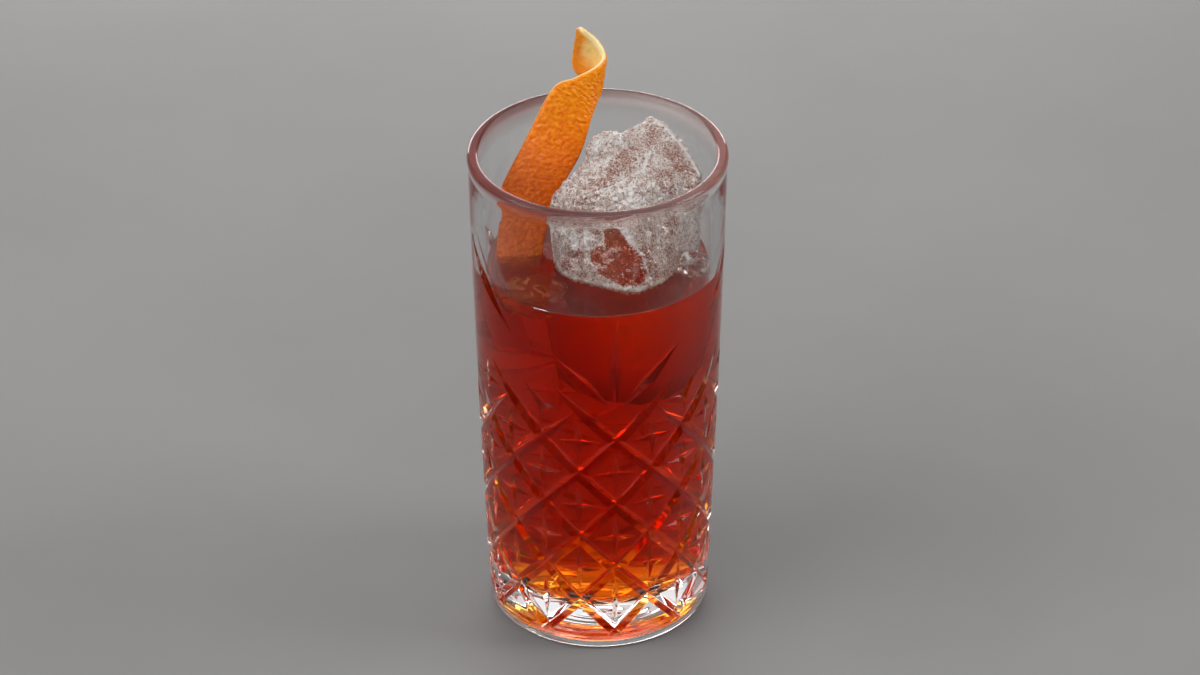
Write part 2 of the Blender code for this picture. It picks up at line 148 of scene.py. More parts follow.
# What the drink swallows and scatters, as a colour and a density per metre
ABSORPTION = ((0.981, 0.682, 0.0), 212.0)
HAZE = ((1.0, 0.7, 0.4), 14.0)
HAZE_FORWARD = 0.8

# Ice: marks seen on its front, as lines and how far each mark reaches from its line
ICE_VOXEL = 0.42
CHIP_VOXEL = 0.22
ICE_DRY_BLEND = (LEVEL - 2.4, LEVEL - 0.2)
ICE_WHITE = (
    (((17.5, 20.0, 158.2), (20.3, 19.1, 157.3), (26.6, 11.9, 153.0), (30.8, 4.1, 148.3)), 1.0),
    (((15.9, 7.3, 154.9), (13.7, -0.1, 152.8), (17.3, -4.6, 148.5), (21.3, -3.9, 145.3)), 0.8),
    (((13.7, -0.1, 152.8), (8.3, -3.7, 151.5), (3.1, -3.6, 148.6), (-4.5, -2.8, 145.0)), 0.6),
    (((-14.2, -2.7, 136.2), (-13.7, -3.6, 126.6), (-10.6, -9.3, 123.2), (-6.3, -13.3, 122.4)), 1.5),
    (((-6.3, -13.3, 122.4), (2.4, -17.2, 123.0), (12.1, -19.8, 123.1), (19.4, -14.2, 122.9)), 1.4),
    (((7.0, -10.4, 140.0), (10.3, -14.1, 134.8), (13.0, -15.9, 130.6), (14.2, -17.3, 126.2)), 2.2),
    (((-7.8, -7.2, 136.0), (-7.2, -8.2, 131.0)), 1.8),
    (((-3.8, -7.8, 136.5), (-3.2, -9.0, 132.0)), 1.4),
)
ICE_SPECKLED = (
    (((-6.0, -3.2, 143.5), (-0.8, -1.4, 148.4), (4.3, 0.6, 151.8)), 4.2),
    (((4.3, 0.6, 151.8), (12.9, 8.6, 155.6), (16.9, 14.5, 156.8)), 4.0),
    (((22.6, 10.3, 153.9), (25.0, 5.5, 151.4), (28.6, 2.0, 148.1), (29.2, 0.5, 143.0)), 4.6),
    (((19.5, -0.2, 151.2), (21.3, -2.5, 148.0)), 4.2),
    (((21.5, -6.5, 140.5), (23.5, -6.2, 137.0)), 3.0),
    (((-9.4, -10.3, 124.5), (-6.5, -9.8, 128.5)), 3.4),
    (((-0.8, -9.2, 136.5), (0.2, -9.4, 135.5)), 2.0),
    (((13.5, -14.5, 133.0), (16.5, -15.5, 127.0)), 2.6),
)
ICE_CLEAR = (
    (((4.0, -10.4, 137.0), (5.4, -12.0, 134.5)), 3.4),
    (((5.4, -12.0, 134.0), (9.7, -16.1, 130.0), (10.8, -17.4, 127.6)), 4.6),
    (((0.6, -12.4, 130.3), (3.0, -14.6, 128.0), (8.0, -17.2, 127.0)), 4.0),
)
ICE_FLAKE = ((((-0.8, 8.5, 155.6), (6.2, 10.5, 156.6)), 4.4),)
ICE_FLAKE_RISE = 0.7
NEEDLE_CENTRE = (9.5, 145.0)
NEEDLE_LENGTHS = (1.5, 6.0)
NEEDLES = 21
NEEDLE_REACH = 0.3

# A small piece of ice just under the surface, in front of the peel
SUNKEN_PLACE = (-18.5, -14.6, 118.2)
SUNKEN_SIZE = (8.4, 7.6, 3.0)

# Orange peel: matching points of its two long edges, as in the solid
PEEL_EDGES = (
    ((-26.8, -11.4, 98.0), (-15.8, -10.8, 99.0)),
    ((-29.8, -5.0, 110.0), (-18.0, -5.0, 111.0)),
    ((-31.8, 1.0, 121.5), (-17.4, 1.4, 121.0)),
    ((-31.2, 7.6, 130.4), (-15.8, 7.0, 128.0)),
    ((-29.6, 13.4, 138.8), (-12.2, 13.0, 137.0)),
    ((-22.3, 20.3, 151.6), (-5.4, 18.8, 147.5)),
    ((-13.7, 24.8, 167.2), (-1.8, 23.4, 158.0)),
    ((-6.8, 25.5, 170.6), (0.2, 26.8, 162.7)),
    ((-0.3, 27.6, 173.2), (0.5, 30.6, 163.8)),
    ((2.4, 30.8, 175.6), (-2.6, 33.4, 164.4)),
    ((0.4, 33.0, 179.2), (-7.6, 34.0, 170.4)),
    ((-4.2, 33.6, 183.4), (-6.4, 33.8, 183.0)),
)
PEEL_THICKNESS = 2.0
PEEL_EDGE = 0.5
PEEL_CROWN = 0.9
PEEL_STEPS = 400
PEEL_ACROSS = 44
PEEL_SIDE_ROUND = 1.2
PEEL_CURL_BLEND = (168, 173)
# Heights over which the zest turns yellower
PEEL_YELLOWING_BLEND = (135, 175)
PEEL_DRY_BLEND = (LEVEL - 6, LEVEL - 1)
PORE_SPACING = 1.3
PORE_DEPTH = 0.24
PORE_RADIUS = 0.42
WRINKLE = (0.85, 1.9)
WRINKLE_HEIGHT = 0.25


# Camera, stage and light
def add_object(name, data):
    made = bpy.data.objects.new(name, data)
    bpy.context.scene.collection.objects.link(made)
    return made


def make_camera():
    forward = Vector((0, math.cos(CAMERA_PITCH), -math.sin(CAMERA_PITCH)))
    right = Vector((1, 0, 0))
    up = right.cross(forward)
    turned_right = right * math.cos(CAMERA_ROLL) + up * math.sin(CAMERA_ROLL)
    turned_up = up * math.cos(CAMERA_ROLL) - right * math.sin(CAMERA_ROLL)
    data = bpy.data.cameras.new("camera")
    data.sensor_width = SENSOR
    data.lens = FOCAL_PIXELS * SENSOR / PICTURE_WIDTH
    data.clip_end = 50.0
    camera = add_object("camera", data)
    camera.matrix_world = Matrix((turned_right, turned_up, -forward)).transposed().to_4x4()
    camera.location = Vector(CAMERA_PLACE) * MM
    bpy.context.scene.camera = camera


def make_floor():
    """A wide pale disc, just under the glass."""
    mesh_data = bmesh.new()
    bmesh.ops.create_circle(mesh_data, cap_ends=True, segments=96, radius=STAGE_RADIUS)
    bmesh.ops.translate(mesh_data, vec=(0, 0, -STAGE_DROP), verts=mesh_data.verts)
    floor = make_piece("floor", mesh_data, floor_material())


def make_world():
    """Soft light from all round, stronger from above."""
    world = bpy.data.worlds.new("studio")
    bpy.context.scene.world = world
    world.use_nodes = True
    nodes, links = world.node_tree.nodes, world.node_tree.links
    place = nodes.new("ShaderNodeTexCoord")
    split = nodes.new("ShaderNodeSeparateXYZ")
    ramp = nodes.new("ShaderNodeValToRGB")
    links.new(place.outputs["Generated"], split.inputs[0])
    links.new(split.outputs["Z"], ramp.inputs[0])
    for element, (position, colour) in zip(ramp.color_ramp.elements, SKY):
        element.position = position
        element.color = (*colour, 1)
    links.new(ramp.outputs[0], nodes["Background"].inputs["Color"])


def make_lights():
    for name, place, size, watts in LIGHTS:
        data = bpy.data.lights.new(name, "AREA")
        data.shape = "RECTANGLE"
        data.size, data.size_y = (side * MM for side in size)
        data.energy = watts
        light = add_object(name, data)
        light.location = Vector(place) * MM
        back = Vector(place) - Vector(LIGHT_AIM)
        light.rotation_euler = back.to_track_quat("Z", "Y").to_euler()
        light.visible_camera = False


# Meshes
def make_piece(name, mesh_data, material):
    """Turn a bmesh in millimetres into a smooth shaded object in metres."""
    bmesh.ops.scale(mesh_data, vec=(MM,) * 3, verts=mesh_data.verts)
    mesh = bpy.data.meshes.new(name)
    mesh_data.to_mesh(mesh)
    mesh_data.free()
    mesh.shade_smooth()
    mesh.materials.append(material)
    return add_object(name, mesh)


def hand_over(piece, slot, *nodes):
    """Tie a finished piece to the frame and hide the solids it stands for. The slot is not used."""
    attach(piece, "root")
    if nodes:
        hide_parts(*nodes)


def in_millimetres(mesh):
    mesh_data = bmesh.new()
    mesh_data.from_mesh(mesh)
    bmesh.ops.scale(mesh_data, vec=(1 / MM,) * 3, verts=mesh_data.verts)
    return mesh_data


def solid_copy(node):
    """A node's mesh as a bmesh in millimetres."""
    mesh_data = in_millimetres(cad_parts[node].data)
    bmesh.ops.remove_doubles(mesh_data, verts=mesh_data.verts, dist=JOIN_DISTANCE)
    return mesh_data


def shrunk(mesh_data, distance):
    """The same bmesh with its points moved in along their normals."""
    mesh_data.normal_update()
    moves = [(vert, vert.normal * -distance) for vert in mesh_data.verts]
    for vert, move in moves:
        vert.co += move
    return mesh_data


def apply_modifiers(piece):
    """Bake a piece's modifiers into its mesh, which keeps its one material."""
    graph = bpy.context.evaluated_depsgraph_get()
    mesh = bpy.data.meshes.new_from_object(piece.evaluated_get(graph))
    mesh.materials.clear()
    mesh.materials.append(piece.data.materials[0])
    piece.modifiers.clear()
    piece.data = mesh


def fine_copy(name, node, voxel, material):
    """A solid as a piece with an even mesh of small squares."""
    piece = make_piece(name, solid_copy(node), material)
    remesh = piece.modifiers.new("remesh", "REMESH")
    remesh.mode = "VOXEL"
    remesh.voxel_size = voxel * MM
    remesh.use_smooth_shade = True
    apply_modifiers(piece)
    return piece


def read_vectors(items, name):
    values = np.empty(len(items) * 3, np.float32)
    items.foreach_get(name, values)
    return values.reshape(-1, 3)


def points_of(mesh):
    """Points of a mesh in millimetres, and their normals."""
    return read_vectors(mesh.vertices, "co") / MM, read_vectors(mesh.vertex_normals, "vector")


def faces_of(mesh):
    """Centres of a mesh's faces in millimetres, and their normals."""
    return read_vectors(mesh.polygons, "center") / MM, read_vectors(mesh.polygons, "normal")


def set_points(mesh, points):
    mesh.vertices.foreach_set("co", (points * MM).astype(np.float32).ravel())
    mesh.update()


def set_shares(mesh, domain="POINT", **shares):
    """Give a mesh named values for its material to read."""
    for name, values in shares.items():
        attribute = mesh.attributes.new(name, "FLOAT", domain)
        attribute.data.foreach_set("value", np.asarray(values, np.float32).ravel())


def smoothed(mesh, points, rounds):
    """A mesh's points moved half of the way to the mean of their neighbours, round after round."""
    edges = np.empty(len(mesh.edges) * 2, np.int32)
    mesh.edges.foreach_get("vertices", edges)
    first, second = edges[::2], edges[1::2]
    count = np.bincount(edges, minlength=len(points))[:, None]
    for _ in range(rounds):
        total = np.zeros_like(points)
        np.add.at(total, first, points[second])
        np.add.at(total, second, points[first])
        points = points + 0.5 * (total / count - points)
    return points


def smoothstep(low, high, value):
    t = np.clip((value - low) / (high - low), 0, 1)
    return t * t * (3 - 2 * t)


def noise_at(points, size, octaves=3, shift=0.0):
    """Fractal noise of roughly -1 to 1, with features of the given size."""
    offset = Vector((shift, shift * 1.7, -shift))
    places = [Vector(point) / size + offset for point in points.reshape(-1, 3)]
    return np.array([noise.fractal(p, 0.9, 2.0, octaves) for p in places]).reshape(points.shape[:-1])


# Glass profile
def wall_radius(height):
    """Outer radius before cutting: a curve through the foot, the middle and the rim."""
    t = height / HEIGHT
    foot = FOOT_RADIUS * (1 - t) * (1 - 2 * t)
    middle = MIDDLE_RADIUS * 4 * t * (1 - t)
    return foot + middle + WALL_TOP_RADIUS * t * (2 * t - 1)


def inner_radius(height):
    """Inner radius of the straight wall, from the floor's corner to the rim."""
    top = HEIGHT - RIM_THICKNESS / 2
    t = (height - FLOOR_HEIGHT) / (top - FLOOR_HEIGHT)
    return INNER_FLOOR_RADIUS + (RIM_RADIUS - RIM_THICKNESS - INNER_FLOOR_RADIUS) * t


def cavity_profile(inset, top):
    """Radius and height down the inner wall to near the middle of the floor, moved in by inset."""
    floor = FLOOR_HEIGHT + inset
    corner_height = FLOOR_HEIGHT + INNER_CORNER
    radius = INNER_CORNER - inset
    centre = inner_radius(corner_height) - inset - radius
    points = [(inner_radius(z) - inset, z) for z in np.linspace(top, corner_height, 24)]
    for angle in np.linspace(0, math.pi / 2, 13)[1:]:
        points.append((centre + radius * math.cos(angle), floor + radius * (1 - math.sin(angle))))
    points += [(centre * share, floor) for share in (0.8, 0.6, 0.4, 0.2)]
    return points


def rim_profile():
    """Up the plain neck and over the round bead of the rim."""
    bead = RIM_THICKNESS / 2
    points = [(wall_radius(PLAIN_TOP), PLAIN_TOP)]
    for share in np.linspace(0, 1, 6)[1:]:
        height = PLAIN_TOP + (NECK[1] - PLAIN_TOP) * share
        points.append((points[0][0] + (NECK[0] - points[0][0]) * share, height))
    for share in np.linspace(0, 1, 8)[1:-1]:
        height = NECK[1] + (HEIGHT - bead - NECK[1]) * share
        points.append((NECK[0] + (RIM_RADIUS - NECK[0]) * smoothstep(0, 1, share), height))
    centre = RIM_RADIUS - bead
    for angle in np.linspace(0, math.pi, 25):
        points.append((centre + bead * math.cos(angle), HEIGHT - bead + bead * math.sin(angle)))
    return points


def base_profile():
    """From the wall round the heel to the rest ring and into the dish with its faint ripples."""
    start = wall_radius(HEEL_HEIGHT)
    points = [(start, HEEL_HEIGHT)]
    for angle in np.linspace(0, math.pi / 2, 10)[1:]:
        radius = REST_RADIUS + (start - REST_RADIUS) * math.cos(angle)
        points.append((radius, HEEL_HEIGHT * (1 - math.sin(angle))))
    points.append(((REST_RADIUS + DISH_RADIUS) / 2, 0.0))
    for radius in np.arange(DISH_RADIUS, 1.0, -0.5):
        inward = DISH_RADIUS - radius
        rise = DISH_DEPTH * smoothstep(0, DISH_RADIUS * 0.5, inward)
        ripple = RIPPLE_HEIGHT * math.cos(2 * math.pi * radius / RIPPLE_LENGTH)
        points.append((radius, rise + ripple * smoothstep(0, 3, inward)))
    return points


# Cut pattern, laid flat: u runs round the glass from the fan, v is the height
def pattern_point(column, row):
    return np.array((column * COLUMN, FIRST_ROW_HEIGHT + row * ROW))


def v_cut(start, end, depth, slope, end_depth=0.0):
    """The two sloping faces of a straight V cut, as polygons of (u, v, depth)."""
    along = (end - start) / np.linalg.norm(end - start)
    side = np.array((-along[1], along[0]))
    faces = []
    for sign in (1, -1):
        corners = [(*start, depth), (*end, end_depth)]
        if end_depth > 0:
            corners.append((*(end + sign * side * end_depth / slope), 0.0))
        corners.append((*(start + sign * side * depth / slope), 0.0))
        faces.append(corners)
    return faces


def star(column, row, arms):
    """Tapered arms from a diamond's centre; each arm is a step in columns and rows."""
    centre = pattern_point(column, row)
    tips = [pattern_point(column + across, row + up) for across, up in arms]
    return [face for tip in tips for face in v_cut(centre, tip, STAR_DEPTH, STAR_SLOPE)]


def lattice_groove(column, run, lean):
    """A groove that rises from row 0 through row 6 at the column and tapers out past it."""
    foot = pattern_point(column - lean * 6, 0)
    toe = pattern_point(column - lean * (6 + TOE), -TOE)
    shoulder = pattern_point(column + lean * (run - TAPER), 6 + run - TAPER)
    tip = pattern_point(column + lean * run, 6 + run)
    faces = v_cut(foot, shoulder, GROOVE_DEPTH, GROOVE_SLOPE, GROOVE_DEPTH)
    faces += v_cut(foot, toe, GROOVE_DEPTH, GROOVE_SLOPE)
    return faces + v_cut(shoulder, tip, GROOVE_DEPTH, GROOVE_SLOPE)


def crown_leaf(ends, swell, axis, lean):
    """A pointed leaf above the crown, to the right of an axis column or mirrored on it."""
    low, high = (pattern_point(axis + lean * column, CROWN_ROW + row) for column, row in ends)
    middle = low + (high - low) * swell
    return v_cut(middle, low, FAN_DEPTH, FAN_SLOPE) + v_cut(middle, high, FAN_DEPTH, FAN_SLOPE)


def pattern_faces():
    """Every cut that reaches the quarter of the glass from the fan to the side."""
    across, up = STAR_REACH
    plain_arms = ((across, 0), (-across, 0), (0, up), (0, -up))
    faces = []
    for column in range(-6, 12, 2):
        faces += lattice_groove(column, GROOVE_RUN[column % 10], 1)
        faces += lattice_groove(column, GROOVE_RUN[-column % 10], -1)
    for row in range(1, 7):
        for column in range(-2, QUARTER_COLUMNS + 3):
            if (column + row) % 2:
                faces += star(column, row, plain_arms)
    faces += star(2, CROWN_ROW, CROWN_STAR)
    for column in (4, 6):
        faces += star(column, CROWN_ROW, plain_arms)
    for ends in FAN_LEAVES:
        faces += crown_leaf(ends, FAN_SWELL, 0, 1)
    for axis, lean in ((0, 1), (2 * QUARTER_COLUMNS, -1)):
        faces += crown_leaf(LONG_LEAF, LONG_LEAF_SWELL, axis, lean)
    return faces


def clip_to_quarter(polygon):
    """Cut a polygon, or a line given as two points, at the two sides of the quarter."""
    for limit, keep in ((0.0, 1), (QUARTER_WIDTH, -1)):
        kept = []
        for i, point in enumerate(polygon):
            before = polygon[i - 1]
            inside = keep * (point[0] - limit) >= 0
            if inside != (keep * (before[0] - limit) >= 0):
                t = (limit - before[0]) / (point[0] - before[0])
                kept.append(tuple(b + (p - b) * t for b, p in zip(before, point)))
            if inside:
                kept.append(tuple(point))
        polygon = kept
    return polygon


def plane_of(polygon):
    """Depth as a + b*u + c*v over a flat polygon."""
    points = np.array(polygon)
    columns = np.column_stack((np.ones(len(points)), points[:, :2]))
    return np.linalg.lstsq(columns, points[:, 2], rcond=None)[0]


def signed_area(polygon):
    points = np.array(polygon)[:, :2]
    ahead = np.roll(points, -1, axis=0)
    return 0.5 * np.sum(points[:, 0] * ahead[:, 1] - points[:, 1] * ahead[:, 0])


def line_inside(line, polygon, span):
    """The part of the span of an infinite line, (point, direction), inside a polygon."""
    origin, direction = line
    low, high = span
    points = np.array(polygon)[:, :2]
    for i, start in enumerate(points):
        edge = points[(i + 1) % len(points)] - start
        across = edge[0] * direction[1] - edge[1] * direction[0]
        offset = edge[0] * (origin[1] - start[1]) - edge[1] * (origin[0] - start[0])
        if abs(across) < 1e-12:
            if offset < 0:
                return None
        elif across > 0:
            low = max(low, -offset / across)
        else:
            high = min(high, -offset / across)
    return (low, high) if high - low > 0.02 else None


def crossing_line(first, second):
    """Where two overlapping faces are equally deep: the crease between them."""
    difference = first[1] - second[1]
    normal = difference[1:]
    length = np.linalg.norm(normal)
    if length < 1e-6:
        return None
    origin = -difference[0] * normal / length**2
    direction = np.array((-normal[1], normal[0])) / length
    span = line_inside((origin, direction), first[0], (-1e4, 1e4))
    span = span and line_inside((origin, direction), second[0], span)
    return span and (origin + direction * span[0], origin + direction * span[1])


def depth_at(points, cuts):
    """How deep each point lies under the uncut wall: the deepest cut that covers it."""
    depth = np.zeros(len(points))
    for polygon, plane in cuts:
        corners = np.array(polygon)[:, :2]
        low, high = corners.min(axis=0) - 1e-3, corners.max(axis=0) + 1e-3
        near = np.flatnonzero(np.all((points > low) & (points < high), axis=1))
        spots = points[near]
        inside = np.ones(len(near), bool)
        for i, start in enumerate(corners):
            edge = corners[(i + 1) % len(corners)] - start
            length = np.linalg.norm(edge)
            if length > 1e-9:
                offset = spots - start
                inside &= (edge[0] * offset[:, 1] - edge[1] * offset[:, 0]) / length > -1e-3
        value = plane[0] + spots @ plane[1:]
        depth[near] = np.where(inside, np.maximum(depth[near], value), depth[near])
    return depth


def quarter_cuts():
    """The cuts' faces inside the quarter, each with its plane and turned the same way."""
    cuts = []
    for face in pattern_faces():
        face = clip_to_quarter(face)
        if len(face) > 2 and abs(signed_area(face)) > 1e-3:
            face = face if signed_area(face) > 0 else face[::-1]
            cuts.append((face, plane_of(face)))
    return cuts


def crease_segments(cuts):
    """Every edge of the cuts' faces and every crease between two that overlap."""
    boxes = [(np.min(face, axis=0)[:2], np.max(face, axis=0)[:2]) for face, _ in cuts]
    segments = []
    for i, (face, _) in enumerate(cuts):
        segments += [(face[j - 1][:2], face[j][:2]) for j in range(len(face))]
        for k in range(i + 1, len(cuts)):
            apart = np.any(boxes[i][0] > boxes[k][1]) or np.any(boxes[k][0] > boxes[i][1])
            crease = None if apart else crossing_line(cuts[i], cuts[k])
            if crease:
                segments.append(crease)
    return segments


def crease_lines(cuts):
    """Each crease with a line on either side of it, as rows of points."""
    rows = []
    for start, end in crease_segments(cuts):
        start, end = np.array(start), np.array(end)
        length = np.linalg.norm(end - start)
        if length < 1e-3:
            continue
        side = np.array((start[1] - end[1], end[0] - start[0])) / length * CREASE_RADIUS
        for shift in (0, 1, -1):
            low, high = start + shift * side, end + shift * side
            ends = clip_to_quarter([tuple(low), tuple(high)])
            ends = list(dict.fromkeys(ends))
            if len(ends) == 2:
                ends = np.array(ends)
                steps = max(1, math.ceil(np.linalg.norm(ends[1] - ends[0]) / CREASE_STEP))
                rows.append([ends[0] + (ends[1] - ends[0]) * i / steps for i in range(steps + 1)])
    return rows


def frame_lines():
    """The quarter's two sides and its top and bottom rings."""
    steps = ROUND // 4
    rows = [[(side, HEEL_HEIGHT), (side, PLAIN_TOP)] for side in (0.0, QUARTER_WIDTH)]
    for height in (HEEL_HEIGHT, PLAIN_TOP):
        rows.append([(QUARTER_WIDTH * i / steps, height) for i in range(steps + 1)])
    return rows


def loose_points(taken):
    """An even spread of points over the quarter, away from those already taken."""
    cell = WALL_STEP * 0.42
    crowded = set()
    for u, v in taken:
        i, j = int(u / cell), int(v / cell)
        crowded |= {(i + a, j + b) for a in (-1, 0, 1) for b in (-1, 0, 1)}
    points = []
    rise = WALL_STEP * math.sqrt(3) / 2
    for row, v in enumerate(np.arange(HEEL_HEIGHT + rise, PLAIN_TOP - rise / 2, rise)):
        for u in np.arange(WALL_STEP * (0.5 + 0.5 * (row % 2)), QUARTER_WIDTH - 0.5, WALL_STEP):
            if (int(u / cell), int(v / cell)) not in crowded:
                points.append((u, v))
    return points


def soft_depth(flat, cuts):
    """Depth and slope of the cuts at each point, averaged over a disc that rounds the creases."""
    angles = np.arange(CREASE_SAMPLES) * 2 * math.pi / CREASE_SAMPLES
    directions = np.column_stack((np.cos(angles), np.sin(angles)))
    offsets = np.vstack(([(0, 0)], directions[::2] * CREASE_RADIUS / 2, directions * CREASE_RADIUS))
    samples = flat[:, None, :] + offsets[None]
    samples[..., 0] = QUARTER_WIDTH - np.abs(QUARTER_WIDTH - np.abs(samples[..., 0]))
    depth = depth_at(samples.reshape(-1, 2), cuts).reshape(len(flat), -1)
    slope = depth[:, -CREASE_SAMPLES:] @ directions * 2 / CREASE_RADIUS / CREASE_SAMPLES
    parts = (depth[:, :1], depth[:, 1:-CREASE_SAMPLES], depth[:, -CREASE_SAMPLES:])
    mean = sum(share * part.mean(axis=1) for share, part in zip(RING_SHARES, parts))
    return mean, slope


def cut_quarter():
    """Points, depths, slopes and triangles of the cut wall over a quarter of the glass."""
    cuts = quarter_cuts()
    points, links = [], []
    for row in crease_lines(cuts) + frame_lines():
        links += [(len(points) + i, len(points) + i + 1) for i in range(len(row) - 1)]
        points += [tuple(point) for point in row]
    points += loose_points(points)
    ends = [Vector(point) for point in points]
    flat, _, triangles, *_ = geometry.delaunay_2d_cdt(ends, links, [], 0, JOIN_DISTANCE)
    flat = np.array([tuple(point) for point in flat])
    sides = []
    for side in (0.0, QUARTER_WIDTH):
        near = np.abs(flat[:, 0] - side) < 2 * JOIN_DISTANCE
        flat[near, 0] = side
        sides.append(near)
    corners = np.array([tuple(triangle) for triangle in triangles])
    flattened = sides[0][corners].all(axis=1) | sides[1][corners].all(axis=1)
    depth, slope = soft_depth(flat, cuts)
    return flat, depth, slope, corners[~flattened]


def on_glass(angle, radius, height):
    """A point by its angle from the middle of the fan, its radius and its height."""
    turned = angle + PATTERN_TURN
    return (radius * math.sin(turned), -radius * math.cos(turned), height)


def wall_normals(flat, depth, slope):
    """Outward, sideways and upward parts of the cut wall's normal at each point."""
    radius = wall_radius(flat[:, 1])
    taper = wall_radius(flat[:, 1] + 0.5) - wall_radius(flat[:, 1] - 0.5)
    stretch = (radius - depth) / UNROLL_RADIUS
    parts = np.column_stack((stretch, slope[:, 0], -stretch * (taper - slope[:, 1])))
    return parts / np.linalg.norm(parts, axis=1)[:, None]


def add_cut_wall(mesh_data, layer):
    """Wrap the quarter round the glass four times, every other one mirrored."""
    flat, depth, slope, triangles = cut_quarter()
    parts = wall_normals(flat, depth, slope)
    radii = wall_radius(flat[:, 1]) - depth
    half_turn = 2 * QUARTER_COLUMNS * COLUMN_ANGLE
    for start, direction in ((0, 1), (0, -1), (half_turn, 1), (half_turn, -1)):
        made = []
        for (u, v), radius, (out, side, up) in zip(flat, radii, parts):
            angle = start + direction * u / UNROLL_RADIUS
            vert = mesh_data.verts.new(on_glass(angle, radius, v))
            radial = Vector(on_glass(angle, 1.0, 0.0))
            tangent = Vector(on_glass(angle + math.pi / 2, 1.0, 0.0))
            vert[layer] = radial * out + tangent * side * direction + Vector((0, 0, up))
            made.append(vert)
        for triangle in triangles:
            corners = [made[i] for i in triangle]
            mesh_data.faces.new(corners if direction > 0 else corners[::-1])


def add_turned_skin(mesh_data, profile, tip_height):
    """Rings of a turned profile, joined in order, and the point that closes the last one."""
    rings = []
    for radius, height in profile:
        angles = [2 * math.pi * i / ROUND for i in range(ROUND)]
        rings.append([mesh_data.verts.new(on_glass(angle, radius, height)) for angle in angles])
    for first, second in zip(rings[:-1], rings[1:]):
        for i in range(ROUND):
            j = (i + 1) % ROUND
            mesh_data.faces.new((first[i], second[i], second[j], first[j]))
    tip = mesh_data.verts.new((0, 0, tip_height))
    for i in range(ROUND):
        mesh_data.faces.new((rings[-1][i], tip, rings[-1][(i + 1) % ROUND]))
    return rings + [[tip]]


def weld(mesh_data):
    """Join points that meet, and turn every face outwards."""
    bmesh.ops.remove_doubles(mesh_data, verts=mesh_data.verts, dist=JOIN_DISTANCE)
    bmesh.ops.recalc_face_normals(mesh_data, faces=mesh_data.faces)


def wetted(x, y, z):
    """Where the glass's inner skin meets the drink."""
    inside = np.hypot(x, y) < inner_radius(z) + 0.2
    return inside & (z > FLOOR_HEIGHT - 0.2) & (z < LEVEL)


def cut_share(x, y, z):
    """1 on the faces of the cuts and 0 on the rest of the glass."""
    radius = np.hypot(x, y)
    on_wall = (radius > inner_radius(z) + 0.8) & (z > HEEL_HEIGHT + 0.3) & (z < PLAIN_TOP - 0.3)
    return on_wall * smoothstep(0.03, 0.15, wall_radius(z) - radius)


def make_glass():
    """The whole glass, whose wall keeps the exact normals of its cuts."""
    mesh_data = bmesh.new()
    layer = mesh_data.verts.layers.float_vector.new("wall_normal")
    add_cut_wall(mesh_data, layer)
    inside = cavity_profile(0.0, HEIGHT - RIM_THICKNESS / 2)[1:]
    base = base_profile()
    add_turned_skin(mesh_data, rim_profile() + inside, FLOOR_HEIGHT)
    add_turned_skin(mesh_data, base, base[-1][1])
    weld(mesh_data)
    piece = make_piece("cut_glass", mesh_data, glass_material("clear_cut_glass", DRY_TINT))
    mesh = piece.data
    wall_normal = mesh.attributes["wall_normal"]
    normals = read_vectors(wall_normal.data, "vector")
    mesh.attributes.remove(wall_normal)
    mesh.normals_split_custom_set_from_vertices(normals.tolist())
    mesh.materials.append(glass_material("wetted_glass", WET_TINT))
    places = points_of(mesh)[0]
    set_shares(mesh, rim=smoothstep(*RIM_BLEND, places[:, 2]), cut=cut_share(*places.T))
    is_wet = wetted(*faces_of(mesh)[0].T)
    mesh.polygons.foreach_set("material_index", np.asarray(is_wet, np.int32))
    mesh.update()
    hand_over(piece, "glass", "glass")


# Drink
def draw_up(surface, edge):
    """Raise the level drink a little where it wets the wall, the ice and the peel."""
    nodes = ("ice_block", "ice_chip", "orange_peel")
    trees = [BVHTree.FromBMesh(solid_copy(node)) for node in nodes]
    for vert in surface:
        from_wall = edge - math.hypot(vert.co.x, vert.co.y)
        near = min(tree.find_nearest(vert.co)[3] for tree in trees)
        at_wall = MENISCUS_RISE * math.exp(-from_wall / MENISCUS_LENGTH)
        at_piece = WETTING_RISE * math.exp(-near / WETTING_LENGTH)
        vert.co.z = LEVEL - MENISCUS_RISE + min(MENISCUS_RISE, at_wall + at_piece)


def cut_out(piece, rooms):
    """Cut closed bmeshes out of a piece."""
    material = piece.data.materials[0]
    cutters = [make_piece(f"room_{i}", room, material) for i, room in enumerate(rooms)]
    for cutter in cutters:
        cut = piece.modifiers.new("room", "BOOLEAN")
        cut.operation = "DIFFERENCE"
        cut.solver = "EXACT"
        cut.object = cutter
    apply_modifiers(piece)
    for cutter in cutters:
        bpy.data.objects.remove(cutter, do_unlink=True)


